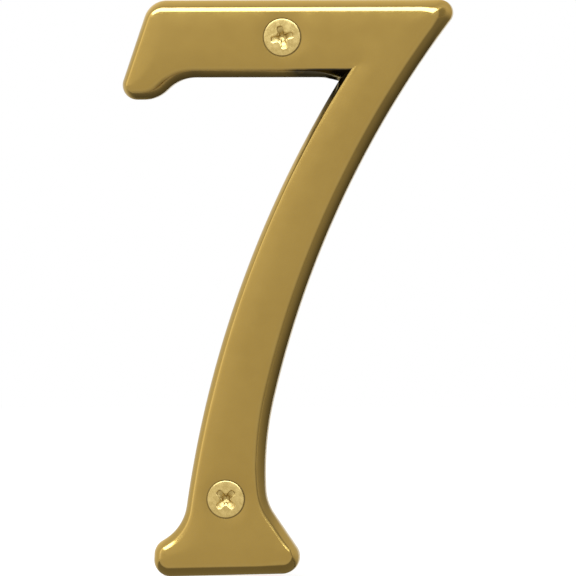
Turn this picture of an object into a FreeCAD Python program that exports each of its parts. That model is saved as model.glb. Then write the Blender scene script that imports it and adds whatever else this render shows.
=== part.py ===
import FreeCAD, Part
import math
import os

import Sketcher
from FreeCAD import Placement, Rotation, Vector

# A brass door number: a bevelled italic seven, cast in one piece, and the two wood screws that hold it.
# It stands in the XZ plane, with its back on Y = 0 and its face towards -Y.
# The origin lies on the back, midway between the two screws.

# Driving sizes, in millimetres and degrees.
SIZES = {
    # Places of the screws
    "screw_rise": 81.2,  # height of the upper screw above the lower one
    "screw_run": 10.0,  # how far the upper screw stands to the right of the lower one
    # Section of the casting
    "plate_thickness": 5.5,
    "bevel_width": 1.2,  # seen from the front
    "bevel_depth": 3.2,  # back from the face
    "rim_radius": 0.8,  # between the face and the bevel
    # Bar, from the upper screw to its sharp corners
    "bar_left": 23.85,
    "bar_right": 32.05,
    "bar_above": 6.6,
    "bar_below": 7.0,
    "crotch_right": 10.05,
    "top_left_radius": 4.15,
    "top_right_radius": 2.25,
    # Web of metal behind the bevel in the crotch, where bar and stem meet
    "web_run": 4.05,
    "web_drop": 0.8,
    # Serif that hangs from the left end of the bar
    "underside_length": 28.45,  # from the crotch to the serif's root
    "serif_drop": 3.9,
    "ramp_run": 4.35,  # sideways run of the slope from the root down to the toe
    "sole_length": 7.0,  # from the toe to the tip
    "serif_root_radius": 7.0,
    "serif_toe_radius": 5.8,
    "serif_tip_radius": 2.6,
    # Stem
    "stem_left_radius": 195.0,
    "stem_right_radius": 176.0,
    "calf_radius": 57.7,  # the tighter curve low on the right side
    "calf_right": 8.0,  # top of that curve, from the lower screw
    "calf_above": 17.75,
    # Foot, from the lower screw to its sharp corners
    "left_root_out": 7.85,
    "left_root_drop": 5.1,
    "shoulder_run": 5.15,
    "shoulder_drop": 3.15,
    "heel_lean": 0.3,
    "heel_height": 5.6,
    "foot_length": 28.45,
    "foot_rise": 0.8,  # how much higher the foot's right end is
    "right_root_drop": 0.8,
    "left_root_radius": 8.2,
    "shoulder_radius": 2.85,
    "heel_radius": 2.95,
    "foot_tip_radius": 3.0,
    "right_root_radius": 8.3,
    # Screws
    "head_diameter": 6.5,
    "head_edge": 0.3,  # straight edge of the head, above its cone
    "head_edge_radius": 0.15,
    "head_proud": 0.15,  # how far the head stands out of the face
    "countersink_angle": 82.0,
    "neck_diameter": 3.0,
    "thread_diameter": 3.5,
    "screw_length": 25.4,
    "point_length": 4.5,
    "seat_clearance": 0.05,  # between the head's cone and the countersink
    "hole_clearance": 0.2,  # between the thread and the hole, on the radius
    "upper_turn": 14.0,  # how far the cross of each screw is turned
    "lower_turn": 45.0,
    # Cross recess
    "recess_span": 4.0,  # tip to tip at the head's surface
    "recess_width": 1.0,
    "recess_depth": 1.9,
    "recess_floor_span": 1.5,
    "recess_floor_width": 0.7,
    "recess_core": 2.0,  # diameter of the tapered middle at the head's surface
    "recess_point_depth": 2.4,
}

FRONT = Vector(0, -1, 0)
SAME_WAY = 0.999  # cosine above which two directions count as the same
SKETCH_NORMAL = Vector(0, 0, 1)
LEFT_TURN = 1
RIGHT_TURN = -1
START = 1
END = 2
CENTRE = 3
SKETCH_ORIGIN = (-1, 1)


def make_sheet(document):
    """Spreadsheet with one named cell for each driving size."""
    sheet = document.addObject("Spreadsheet::Sheet", "Sizes")
    for row, (alias, value) in enumerate(SIZES.items(), start=1):
        sheet.set(f"A{row}", alias)
        sheet.set(f"B{row}", str(value))
        sheet.setAlias(f"B{row}", alias)
    document.recompute()
    return sheet


def size(alias):
    """Value of one driving size, read from the sheet."""
    return float(sizes.get(alias))


def attach(sketch, body, role, offset=None):
    """Lay a sketch on one of its body's origin planes."""
    plane = next(feature for feature in body.Origin.OriginFeatures if feature.Role == role)
    sketch.AttachmentSupport = [(plane, "")]
    sketch.MapMode = "FlatFace"
    if offset:
        sketch.setExpression("AttachmentOffset.Base.z", offset)


def bind(sketch, constraint, expression):
    """Add a constraint whose value follows an expression of the sheet."""
    index = sketch.addConstraint(constraint)
    sketch.setExpression(f"Constraints[{index}]", expression)


class Side:
    """A side of the outline from one sharp corner to the next: straight, or an arc about a centre."""

    def __init__(self, start, end, centre=None, turn=0):
        self.start = start
        self.end = end
        self.centre = centre
        self.turn = turn
        self.first = start
        self.last = end
        if centre is None:
            self.curve = Part.Line(start, end)
        else:
            self.curve = Part.Circle(centre, SKETCH_NORMAL, (start - centre).Length)

    def heading(self, point):
        """Direction of travel at a point of the side."""
        if self.centre is None:
            return (self.end - self.start).normalize()
        return (SKETCH_NORMAL.cross(point - self.centre) * self.turn).normalize()

    def beside(self, distance):
        """The curve that runs this far to the left of the side."""
        if self.centre is None:
            shift = SKETCH_NORMAL.cross(self.heading(self.start)) * distance
            return Part.Line(self.start + shift, self.end + shift)
        return Part.Circle(self.centre, SKETCH_NORMAL, self.curve.Radius - self.turn * distance)

    def nearest(self, point):
        """Point of the side's curve nearest to another point."""
        return self.curve.projectPoint(point, "NearestPoint")

    def geometry(self):
        """The side between the roundings at its two ends, for the sketch."""
        if self.centre is None:
            return Part.LineSegment(self.first, self.last)
        return arc(self.centre, self.first, self.last, self.turn)


def arc(centre, first, last, turn):
    """Arc from one point to another, turning left or right about its centre."""
    start, end = (first, last) if turn == LEFT_TURN else (last, first)
    angles = [math.atan2(point.y - centre.y, point.x - centre.x) for point in (start, end)]
    circle = Part.Circle(centre, SKETCH_NORMAL, (first - centre).Length)
    return Part.ArcOfCircle(circle, *angles)


def arc_centre(start, end, radius, turn):
    """Centre of the arc of this radius from one point to another."""
    half = (end - start) / 2
    towards = SKETCH_NORMAL.cross(half).normalize() * turn
    return start + half + towards * math.sqrt(radius**2 - half.Length**2)


class Outline:
    """Closed sketch drawn counterclockwise through sharp corners, some of which are then rounded."""

    def __init__(self, sketch):
        self.sketch = sketch
        self.spots = {}
        self.marks = {}
        self.sides = []
        self.corners = []

    def mark(self, name, spot):
        """Construction point for a corner or a screw's axis."""
        self.spots[name] = spot
        self.marks[name] = self.sketch.addGeometry(Part.Point(spot), True)

    def place(self, name, reference, left=None, right=None, up=None, down=None):
        """Point set off from another by named sizes, and level or plumb with it where none is named."""
        across = size(right) if right else -size(left) if left else 0
        above = size(up) if up else -size(down) if down else 0
        self.mark(name, self.spots[reference] + Vector(across, above, 0))
        new, old = self.marks[name], self.marks[reference]
        for kind, aligned, forward, back in (
            ("DistanceX", "Vertical", right, left),
            ("DistanceY", "Horizontal", up, down),
        ):
            if forward:
                distance = Sketcher.Constraint(kind, old, START, new, START, size(forward))
                bind(self.sketch, distance, f"Sizes.{forward}")
            elif back:
                distance = Sketcher.Constraint(kind, new, START, old, START, size(back))
                bind(self.sketch, distance, f"Sizes.{back}")
            else:
                self.sketch.addConstraint(Sketcher.Constraint(aligned, new, START, old, START))

    def side(self, start, end, centre=None, turn=0, radius=None, rounding=None):
        """Next side of the outline. Its radius is for an arc, and its rounding is at its starting corner."""
        self.sides.append(Side(self.spots[start], self.spots[end], centre, turn))
        self.corners.append((start, radius, rounding))

    def draw(self):
        """Add the rounded sides to the sketch, with constraints that tie them to the corners and sizes."""
        arcs = [self.trim(index) for index in range(len(self.sides))]
        sides = [self.sketch.addGeometry(side.geometry()) for side in self.sides]
        for index, (name, radius, rounding) in enumerate(self.corners):
            before, after = self.sides[index - 1], self.sides[index]
            leaving = (sides[index - 1], START if before.turn == RIGHT_TURN else END)
            arriving = (sides[index], END if after.turn == RIGHT_TURN else START)
            if radius:
                curve = Sketcher.Constraint("Radius", sides[index], size(radius))
                bind(self.sketch, curve, f"Sizes.{radius}")
            if not rounding:
                self.meet(name, leaving, arriving, smooth=before.turn == after.turn)
                continue
            centre, turn = arcs[index]
            corner = self.sketch.addGeometry(arc(centre, before.last, after.first, turn))
            first, last = (START, END) if turn == LEFT_TURN else (END, START)
            self.sketch.addConstraint(Sketcher.Constraint("Tangent", *leaving, corner, first))
            self.sketch.addConstraint(Sketcher.Constraint("Tangent", corner, last, *arriving))
            bind(self.sketch, Sketcher.Constraint("Radius", corner, size(rounding)), f"Sizes.{rounding}")
            for geometry, _ in (leaving, arriving):
                on_side = Sketcher.Constraint("PointOnObject", self.marks[name], START, geometry)
                self.sketch.addConstraint(on_side)

    def meet(self, name, leaving, arriving, smooth):
        """Join two sides at a corner that isn't rounded, or at a point where one arc runs into the next."""
        kind = "Tangent" if smooth else "Coincident"
        self.sketch.addConstraint(Sketcher.Constraint(kind, *leaving, *arriving))
        self.sketch.addConstraint(Sketcher.Constraint("Coincident", *leaving, self.marks[name], START))

    def trim(self, index):
        """Shorten the two sides at a corner to the arc that rounds it, and give its centre and turn."""
        name, _, rounding = self.corners[index]
        if not rounding:
            return None
        before, after = self.sides[index - 1], self.sides[index]
        corner = self.spots[name]
        bend = before.heading(corner).cross(after.heading(corner))
        turn = LEFT_TURN if bend.z > 0 else RIGHT_TURN
        inside = turn * size(rounding)
        crossings = before.beside(inside).intersect(after.beside(inside))
        centres = [Vector(point.X, point.Y, point.Z) for point in crossings]
        centre = min(centres, key=lambda option: option.distanceToPoint(corner))
        before.last = before.nearest(centre)
        after.first = after.nearest(centre)
        return centre, turn


def draw_seven(sketch):
    """Outline of the numeral, with every corner placed from one of the two screws."""
    seven = Outline(sketch)
    half = Vector(size("screw_run"), size("screw_rise"), 0) / 2
    seven.mark("upper_screw", half)
    seven.mark("lower_screw", -half)
    upper, lower = seven.marks["upper_screw"], seven.marks["lower_screw"]
    sketch.addConstraint(Sketcher.Constraint("Symmetric", upper, START, lower, START, *SKETCH_ORIGIN))
    for kind, alias in (("DistanceX", "screw_run"), ("DistanceY", "screw_rise")):
        bind(sketch, Sketcher.Constraint(kind, lower, START, upper, START, size(alias)), f"Sizes.{alias}")

    seven.place("top_left", "upper_screw", left="bar_left", up="bar_above")
    seven.place("crotch", "upper_screw", right="crotch_right", down="bar_below")
    seven.place("serif_root", "crotch", left="underside_length")
    seven.place("serif_toe", "serif_root", left="ramp_run", down="serif_drop")
    seven.place("serif_tip", "serif_toe", left="sole_length")
    seven.place("left_root", "lower_screw", left="left_root_out", down="left_root_drop")
    seven.place("shoulder", "left_root", left="shoulder_run", down="shoulder_drop")
    seven.place("heel", "shoulder", left="heel_lean", down="heel_height")
    seven.place("foot_tip", "heel", right="foot_length", up="foot_rise")
    seven.place("calf_top", "lower_screw", right="calf_right", up="calf_above")
    seven.place("top_right", "upper_screw", right="bar_right", up="bar_above")

    spots = seven.spots
    stem_left = arc_centre(spots["crotch"], spots["left_root"], size("stem_left_radius"), LEFT_TURN)
    stem_right = arc_centre(spots["calf_top"], spots["top_right"], size("stem_right_radius"), RIGHT_TURN)
    towards = (stem_right - spots["calf_top"]).normalize()
    calf = spots["calf_top"] + towards * size("calf_radius")
    root_height = spots["lower_screw"].y - size("right_root_drop")
    root_across = calf.x - math.sqrt(size("calf_radius") ** 2 - (root_height - calf.y) ** 2)
    seven.mark("right_root", Vector(root_across, root_height, 0))
    root = seven.marks["right_root"]
    drop = Sketcher.Constraint("DistanceY", root, START, lower, START, size("right_root_drop"))
    bind(sketch, drop, "Sizes.right_root_drop")

    seven.side("top_left", "serif_tip", rounding="top_left_radius")
    seven.side("serif_tip", "serif_toe", rounding="serif_tip_radius")
    seven.side("serif_toe", "serif_root", rounding="serif_toe_radius")
    seven.side("serif_root", "crotch", rounding="serif_root_radius")
    seven.side("crotch", "left_root", stem_left, LEFT_TURN, radius="stem_left_radius")
    seven.side("left_root", "shoulder", rounding="left_root_radius")
    seven.side("shoulder", "heel", rounding="shoulder_radius")
    seven.side("heel", "foot_tip", rounding="heel_radius")
    seven.side("foot_tip", "right_root", rounding="foot_tip_radius")
    seven.side("right_root", "calf_top", calf, RIGHT_TURN, "calf_radius", "right_root_radius")
    seven.side("calf_top", "top_right", stem_right, RIGHT_TURN, "stem_right_radius")
    seven.side("top_right", "top_left", rounding="top_right_radius")
    seven.draw()


def face_towards(shape, direction):
    """Name of the flat face that looks in this direction and lies furthest that way."""
    names = [f"Face{number}" for number in range(1, len(shape.Faces) + 1)]
    flat = [name for name in names if isinstance(shape.getElement(name).Surface, Part.Plane)]
    facing = [name for name in flat if shape.getElement(name).normalAt(0, 0).dot(direction) > SAME_WAY]
    return max(facing, key=lambda name: shape.getElement(name).CenterOfMass.dot(direction))


def round_front_edge(body, base, name, radius):
    """Round the edge of a feature's front face."""
    rounding = body.newObject("PartDesign::Fillet", name)
    rounding.Base = (base, [face_towards(base.Shape, FRONT)])
    rounding.setExpression("Radius", f"Sizes.{radius}")
    doc.recompute()
    return rounding


def drill_screw_holes(body):
    """The two countersunk holes, in the front face at the screws' places."""
    centres = body.newObject("Sketcher::SketchObject", "HoleCentres")
    attach(centres, body, "XZ_Plane", "Sizes.plate_thickness")
    diameter = "Sizes.thread_diameter + 2 * Sizes.hole_clearance"
    hole_radius = size("thread_diameter") / 2 + size("hole_clearance")
    half = Vector(size("screw_run"), size("screw_rise"), 0) / 2
    upper, lower = [
        centres.addGeometry(Part.Circle(spot, SKETCH_NORMAL, hole_radius)) for spot in (half, -half)
    ]
    middle = (upper, CENTRE, lower, CENTRE)
    centres.addConstraint(Sketcher.Constraint("Symmetric", *middle, *SKETCH_ORIGIN))
    centres.addConstraint(Sketcher.Constraint("Equal", upper, lower))
    bind(centres, Sketcher.Constraint("Diameter", upper, 2 * hole_radius), diameter)
    for kind, alias in (("DistanceX", "screw_run"), ("DistanceY", "screw_rise")):
        spacing = Sketcher.Constraint(kind, lower, CENTRE, upper, CENTRE, size(alias))
        bind(centres, spacing, f"Sizes.{alias}")
    doc.recompute()

    holes = body.newObject("PartDesign::Hole", "ScrewHoles")
    holes.Profile = centres
    holes.DepthType = "ThroughAll"
    holes.HoleCutType = "Countersink"
    holes.HoleCutCustomValues = True
    holes.setExpression("Diameter", diameter)
    holes.setExpression("HoleCutCountersinkAngle", "Sizes.countersink_angle")
    flare = "(Sizes.head_edge - Sizes.head_proud) * tan(Sizes.countersink_angle / 2 * 1 deg)"
    gap = "Sizes.seat_clearance / cos(Sizes.countersink_angle / 2 * 1 deg)"
    holes.setExpression("HoleCutDiameter", f"Sizes.head_diameter + 2 * ({flare} + {gap})")
    doc.recompute()


def add_crotch_web(body):
    """Fill the crotch a little at the back, fading out into the walls below the bevel."""
    across = "Sizes.screw_run / 2 + Sizes.crotch_right"
    height = "Sizes.screw_rise / 2 - Sizes.bar_below"
    outer = f"{across} - Sizes.web_run"
    hidden = f"{height} + Sizes.web_drop"
    sections = []
    for name, depth, outer_edge, inner_edge in (
        ("WebBack", "0", height, f"{height} - Sizes.web_drop"),
        ("WebFront", "Sizes.plate_thickness - Sizes.bevel_depth", f"{height} + Sizes.web_drop / 2",
         f"{height} + Sizes.web_drop / 2"),
    ):
        section = body.newObject("Sketcher::SketchObject", name)
        attach(section, body, "XZ_Plane", depth)
        draw_polygon(section, [(outer, outer_edge), (across, inner_edge), (across, hidden), (outer, hidden)])
        sections.append(section)
    web = body.newObject("PartDesign::AdditiveLoft", "CrotchWeb")
    web.Profile = sections[0]
    web.Sections = sections[1:]
    web.Ruled = True
    doc.recompute()


def make_numeral():
    """The casting: a plate of the outline's shape, bevelled at the front, with two countersunk holes."""
    body = doc.addObject("PartDesign::Body", "Numeral")
    body.Label = "numeral"
    outline = body.newObject("Sketcher::SketchObject", "SevenOutline")
    attach(outline, body, "XZ_Plane")
    draw_seven(outline)

    plate = body.newObject("PartDesign::Pad", "Plate")
    plate.Profile = outline
    plate.setExpression("Length", "Sizes.plate_thickness")
    doc.recompute()

    bevel = body.newObject("PartDesign::Chamfer", "Bevel")
    bevel.Base = (plate, [face_towards(plate.Shape, FRONT)])
    bevel.ChamferType = "Two distances"
    bevel.setExpression("Size", "Sizes.bevel_depth")
    bevel.setExpression("Size2", "Sizes.bevel_width")
    doc.recompute()

    round_front_edge(body, bevel, "Rim", "rim_radius")
    add_crotch_web(body)
    drill_screw_holes(body)
    return body


def draw_polygon(sketch, corners):
    """Closed polygon whose corners are placed from the sketch's origin by expressions of the sheet."""
    count = len(corners)
    guesses = [
        Vector(math.cos(2 * math.pi * number / count), math.sin(2 * math.pi * number / count), 0)
        for number in range(count)
    ]
    lines = [
        sketch.addGeometry(Part.LineSegment(guesses[number], guesses[(number + 1) % count]))
        for number in range(count)
    ]
    for number, (across, along) in enumerate(corners):
        line = lines[number]
        sketch.addConstraint(Sketcher.Constraint("Coincident", lines[number - 1], END, line, START))
        for kind, expression in (("DistanceX", across), ("DistanceY", along)):
            guess = guesses[number].x if kind == "DistanceX" else guesses[number].y
            bind(sketch, Sketcher.Constraint(kind, *SKETCH_ORIGIN, line, START, guess), expression)


def turned(body, kind, name, corners):
    """Feature turned about the body's Y axis from a profile of (radius, distance along the axis)."""
    profile = body.newObject("Sketcher::SketchObject", f"{name}Profile")
    attach(profile, body, "XY_Plane")
    draw_polygon(profile, corners)
    feature = body.newObject(kind, name)
    feature.Profile = profile
    feature.ReferenceAxis = (profile, ["V_Axis"])
    doc.recompute()
    return feature


def cross_section(body, name, span, width, depth):
    """Sketch of the recess's cross at a depth below the head's top."""
    sketch = body.newObject("Sketcher::SketchObject", name)
    attach(sketch, body, "XZ_Plane", f"-({depth})")
    tip = f"Sizes.{span} / 2"
    side = f"Sizes.{width} / 2"
    corners = [(tip, f"-{side}"), (tip, side), (side, side)]
    for _ in range(3):
        corners += [(f"-({along})", across) for across, along in corners[-3:]]
    draw_polygon(sketch, corners)
    return sketch


def make_screw(name, side, turn):
    """One wood screw, with its head's top at the body's origin and its point along +Y."""
    body = doc.addObject("PartDesign::Body", name)
    head = "Sizes.head_diameter / 2"
    neck = "Sizes.neck_diameter / 2"
    thread = "Sizes.thread_diameter / 2"
    cone = f"Sizes.head_edge + ({head} - {neck}) / tan(Sizes.countersink_angle / 2 * 1 deg)"
    plate_back = "Sizes.plate_thickness + Sizes.head_proud"
    blank = turned(body, "PartDesign::Revolution", f"{name}Blank", [
        ("0", "0"),
        (head, "0"),
        (head, "Sizes.head_edge"),
        (neck, cone),
        (neck, plate_back),
        (thread, f"{plate_back} + {thread} - {neck}"),
        (thread, "Sizes.screw_length - Sizes.point_length"),
        ("0", "Sizes.screw_length"),
    ])
    round_front_edge(body, blank, f"{name}HeadEdge", "head_edge_radius")
    turned(body, "PartDesign::Groove", f"{name}Core", [
        ("0", "0"),
        ("Sizes.recess_core / 2", "0"),
        ("Sizes.recess_floor_width / 2", "Sizes.recess_depth"),
        ("0", "Sizes.recess_point_depth"),
    ])
    wings = body.newObject("PartDesign::SubtractiveLoft", f"{name}Wings")
    wings.Profile = cross_section(body, f"{name}Cross", "recess_span", "recess_width", "0")
    floor = ("recess_floor_span", "recess_floor_width", "Sizes.recess_depth")
    wings.Sections = [cross_section(body, f"{name}CrossFloor", *floor)]
    wings.Ruled = True
    doc.recompute()

    body.Placement = Placement(Vector(), Rotation(FRONT, size(turn)))
    body.setExpression("Placement.Rotation.Angle", f"Sizes.{turn} * 1 deg")
    body.setExpression("Placement.Base.x", f"{side} * Sizes.screw_run / 2")
    body.setExpression("Placement.Base.y", f"-({plate_back})")
    body.setExpression("Placement.Base.z", f"{side} * Sizes.screw_rise / 2")
    return body


def check(document, nodes):
    """Stop where a feature failed or a sub-part has no sound shape."""
    document.recompute()
    failed = [item.Name for item in document.Objects if {"Invalid", "Error"} & set(item.State)]
    if failed:
        raise RuntimeError(f"failed features: {failed}")
    for node in nodes:
        if node.Shape.isNull() or not node.Shape.isValid():
            raise RuntimeError(f"no sound shape: {node.Label}")


doc = FreeCAD.newDocument("door_number")
sizes = make_sheet(doc)
numeral = make_numeral()
screws = doc.addObject("Part::Compound", "Screws")
screws.Label = "fixing_screws"
screws.Links = [make_screw("UpperScrew", 1, "upper_turn"), make_screw("LowerScrew", -1, "lower_turn")]

subparts = [numeral, screws]
check(doc, subparts)
os.makedirs("parts", exist_ok=True)
for subpart in subparts:
    subpart.Shape.exportStep(f"parts/{subpart.Label}.step")
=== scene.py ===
import math

import bmesh
import bpy
import numpy as np
from bpy.props import FloatProperty, FloatVectorProperty, PointerProperty
from bpy.types import Operator, Panel, PropertyGroup
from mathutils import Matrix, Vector, geometry, noise


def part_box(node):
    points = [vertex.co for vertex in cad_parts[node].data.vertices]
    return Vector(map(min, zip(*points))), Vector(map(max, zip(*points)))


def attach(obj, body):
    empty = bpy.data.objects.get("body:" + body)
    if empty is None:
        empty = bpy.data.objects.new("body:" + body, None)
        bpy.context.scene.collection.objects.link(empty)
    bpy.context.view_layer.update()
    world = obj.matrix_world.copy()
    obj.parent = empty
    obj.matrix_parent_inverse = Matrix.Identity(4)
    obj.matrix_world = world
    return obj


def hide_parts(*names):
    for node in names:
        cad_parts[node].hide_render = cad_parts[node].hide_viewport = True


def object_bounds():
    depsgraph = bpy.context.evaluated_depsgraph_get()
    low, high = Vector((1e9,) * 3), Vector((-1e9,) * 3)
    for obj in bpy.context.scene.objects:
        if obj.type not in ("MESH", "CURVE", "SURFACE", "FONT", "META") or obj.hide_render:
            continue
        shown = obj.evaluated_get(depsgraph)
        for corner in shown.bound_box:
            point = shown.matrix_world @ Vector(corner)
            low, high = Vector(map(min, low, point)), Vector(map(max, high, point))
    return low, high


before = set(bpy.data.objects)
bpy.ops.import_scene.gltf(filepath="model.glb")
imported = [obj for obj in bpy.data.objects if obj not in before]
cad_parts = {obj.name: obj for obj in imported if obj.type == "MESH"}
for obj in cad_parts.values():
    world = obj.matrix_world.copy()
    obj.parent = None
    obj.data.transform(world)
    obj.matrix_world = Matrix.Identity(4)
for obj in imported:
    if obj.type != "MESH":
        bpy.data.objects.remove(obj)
cad_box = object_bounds()

bl_info = {
    "name": "Brass Door Number",
    "version": (1, 0, 0),
    "blender": (4, 5, 0),
    "location": "3D View > Sidebar > Door Number",
    "description": "Builds a bevelled brass numeral seven, its two wood screws and a small studio",
    "category": "Add Mesh",
}

MM = 0.001
SCREW_HEAD_DIAMETER = 6.5
LEFT_TURN = 1
RIGHT_TURN = -1
QUARTER = math.pi / 2


# Properties


def length(name, description, millimetres):
    """Property for a length, given in millimetres and kept in metres."""
    metres = millimetres * MM
    return FloatProperty(name=name, description=description, default=metres, precision=5, unit="LENGTH")


def angle(name, description, degrees):
    """Property for an angle, given in degrees."""
    return FloatProperty(name=name, description=description, default=math.radians(degrees), subtype="ANGLE")


def colour(name, description, value):
    """Property for a colour."""
    return FloatVectorProperty(
        name=name, description=description, default=value, size=3, min=0.0, max=1.0, subtype="COLOR"
    )


def level(name, description, value):
    """Property for the brightness of a lamp or card, where a white background is 1."""
    return FloatProperty(name=name, description=description, default=value, min=0.0)


class NumeralSizes(PropertyGroup):
    """Section of the casting"""

    thickness: length("Thickness", "From the back to the middle of the face", 5.5)
    back_edge: length("Back edge", "Radius of the edge around the back", 0.25)
    bevel_radius: length("Bevel radius", "Long radius of the slightly full bevel", 7.3)
    bevel_foot: angle("Bevel foot", "Slope of the bevel where it meets the wall", 76)
    bevel_head: angle("Bevel head", "Slope of the bevel where it meets the rim", 56)
    rim_radius: length("Rim radius", "Rounding between the bevel and the face", 1.45)
    roll_off: angle("Roll-off", "Slope of the face where polishing has rounded it at the rim", 5)
    roll_off_width: length("Roll-off width", "How far in from the rim the face is rounded", 3.3)
    dish_depth: length("Dish depth", "How far polishing has sunk the face around each screw", 0.09)
    dish_width: length("Dish width", "Width of the sunk ring around each screw", 2.0)
    waviness: length("Waviness", "Height of the slight waves that polishing leaves in the face", 0.004)
    web_drop: length("Web drop", "How far metal fills the crotch at the back", 0.8)
    web_run: length("Web run", "How far that filling runs along the bar", 4.05)


class ScrewSizes(PropertyGroup):
    """Sizes of the two wood screws"""

    head_diameter: length("Head", "Diameter of the head", SCREW_HEAD_DIAMETER)
    head_edge: length("Head edge", "Height of the straight edge of the head", 0.3)
    head_rounding: length("Head rounding", "Radius around the top of the head", 0.12)
    head_proud: length("Proud", "How far the head stands out of the face", 0.15)
    seat_clearance: length("Seat clearance", "Between the head's cone and the countersink", 0.05)
    hole_diameter: length("Hole", "Diameter of the hole through the casting", 3.9)
    countersink: angle("Countersink", "Full angle of the head's cone", 82)
    neck_diameter: length("Neck", "Diameter of the plain neck under the head", 3.0)
    thread_diameter: length("Thread", "Diameter over the thread", 3.5)
    root_diameter: length("Root", "Diameter at the root of the thread", 2.3)
    pitch: length("Pitch", "Distance from one turn of the thread to the next", 1.41)
    screw_length: length("Length", "From the top of the head to the point", 25.4)
    point_length: length("Point", "Length of the tapered point", 4.5)
    recess_span: length("Recess span", "Cross recess from tip to tip at the top", 4.0)
    recess_width: length("Recess width", "Width of each arm at the top", 1.0)
    recess_core: length("Recess core", "Diameter of the tapered middle at the top", 2.0)
    recess_depth: length("Recess depth", "Depth where the arms meet", 1.05)
    recess_floor_span: length("Floor span", "Cross recess from tip to tip at its floor", 1.1)
    recess_floor_width: length("Floor width", "Width of each arm at its floor", 0.72)
    recess_lip: length("Recess lip", "Rounding around the mouth of the recess", 0.14)
    recess_step: length("Recess step", "Depth of the steep drop at the tip of each arm", 0.42)
    upper_turn: angle("Upper turn", "How far the cross of the upper screw is turned", 14)
    lower_turn: angle("Lower turn", "How far the cross of the lower screw is turned", 45)


class Finishes(PropertyGroup):
    """Colours of the brass"""

    brass_deep: colour("Brass, deep", "Darker patches of the lacquered brass", (0.343, 0.217, 0.044))
    brass_light: colour("Brass, light", "Lighter patches of the lacquered brass", (0.361, 0.231, 0.049))
    brass_worn: colour("Brass, worn", "Brass rubbed bright along the rim", (0.37, 0.244, 0.058))
    # Painted shade: near-black brass mixed in where shade falls, in the crotch, under the bar, low on the
    # wall and in and around the holes
    brass_painted_shade: colour("Brass, dull", "Brass darkened in corners and near the screws", (0.018, 0.012, 0.004))
    back_deep: colour("Back, deep", "Darker streaks of the ground back", (0.33, 0.24, 0.085))
    back_light: colour("Back, light", "Lighter streaks of the ground back", (0.50, 0.38, 0.15))
    screw_deep: colour("Screw, deep", "Darker grain of the screws", (0.455, 0.325, 0.104))
    screw_light: colour("Screw, light", "Lighter grain of the screws", (0.567, 0.414, 0.149))
    # Painted shade: darker brass deep in the recess, at its point, in the roots of the thread and on the
    # shank
    screw_painted_shade: colour("Screw, dull", "Brass darkened at the bottom of the recess", (0.26, 0.175, 0.05))


class StageSettings(PropertyGroup):
    """Camera, floor and light"""

    azimuth: angle("Azimuth", "How far the camera stands to the right", 7)
    elevation: angle("Elevation", "How far the camera looks down", 0.5)
    distance: length("Distance", "From the camera to the numeral", 1500)
    frame_width: length("Frame width", "What the picture spans at the numeral", 101.57)
    aim_right: length("Aim right", "Middle of the picture, to the right of the numeral's origin", 5.33)
    aim_down: length("Aim down", "Middle of the picture, below the numeral's origin", 3.5)
    floor_colour: colour("Floor", "Colour of the floor", (0.85, 0.85, 0.85))
    floor_glow: level("Floor glow", "Light added to the floor so that it meets the background", 0.62)
    ambient: level("Ambient", "Light from all around on the floor", 0.45)
    key: level("Key", "Brightness of the soft key lamp", 2.5)
    overhead: level("Overhead", "Brightness of the panel overhead in the metal", 11.5)
    overhead_tint: colour("Overhead tint", "Cool white of the panel overhead", (0.62, 0.74, 1.0))
    left_card: level("Left card", "Brightness of the card at the left in the metal", 2.1)
    # The right card's level also sets the painted shade on the floor at the right, and contact sets the
    # painted shade on the floor close to the foot
    right_card: level("Right card", "Brightness of the dark card at the right in the metal", 0.5)
    ground: level("Ground", "Brightness in the metal of the floor in front", 1.0)
    contact: level("Contact", "Brightness in the metal of the floor close to the foot", 0.35)


# Plane geometry, in millimetres

SOLVER_STEPS = 12


def vector(*values):
    """Array of numbers."""
    return np.array(values, float)


def unit(direction):
    """The direction with a length of 1."""
    return direction / np.linalg.norm(direction)


def left_of(direction):
    """The direction turned a quarter to the left."""
    return vector(-direction[1], direction[0])


def distance_to(points, loop):
    """Distance of each point from a closed loop."""
    nearest = np.full(len(points), np.inf)
    for start, end in zip(loop, np.roll(loop, -1, axis=0)):
        run = end - start
        if not run.any():
            continue
        share = np.clip((points - start) @ run / (run @ run), 0.0, 1.0)
        gaps = np.linalg.norm(points - start - share[:, None] * run, axis=1)
        nearest = np.minimum(nearest, gaps)
    return nearest


def inside(points, loop):
    """Which points lie inside a closed loop."""
    within = np.zeros(len(points), bool)
    for start, end in zip(loop, np.roll(loop, -1, axis=0)):
        spans = (start[1] > points[:, 1]) != (end[1] > points[:, 1])
        if start[1] == end[1]:
            continue
        crossing = start[0] + (points[:, 1] - start[1]) * (end[0] - start[0]) / (end[1] - start[1])
        within ^= spans & (points[:, 0] < crossing)
    return within


def circle(centre, radius, count):
    """Points around a circle."""
    turns = np.arange(count) * 2 * math.pi / count
    return centre + radius * np.column_stack((np.cos(turns), np.sin(turns)))


def arc_centre(start, end, radius, turn):
    """Centre of the arc of this radius from one point to another."""
    half = (end - start) / 2
    return start + half + turn * unit(left_of(half)) * math.sqrt(radius**2 - half @ half)


def arc_points(centre, first, last, turn, step):
    """Points along an arc, both ends among them."""
    spokes = [first - centre, last - centre]
    begin, finish = [math.atan2(spoke[1], spoke[0]) for spoke in spokes]
    sweep = turn * ((turn * (finish - begin)) % (2 * math.pi))
    count = max(2, math.ceil(abs(sweep) / step) + 1)
    turns = np.linspace(begin, begin + sweep, count)
    return centre + np.linalg.norm(spokes[0]) * np.column_stack((np.cos(turns), np.sin(turns)))


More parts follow.
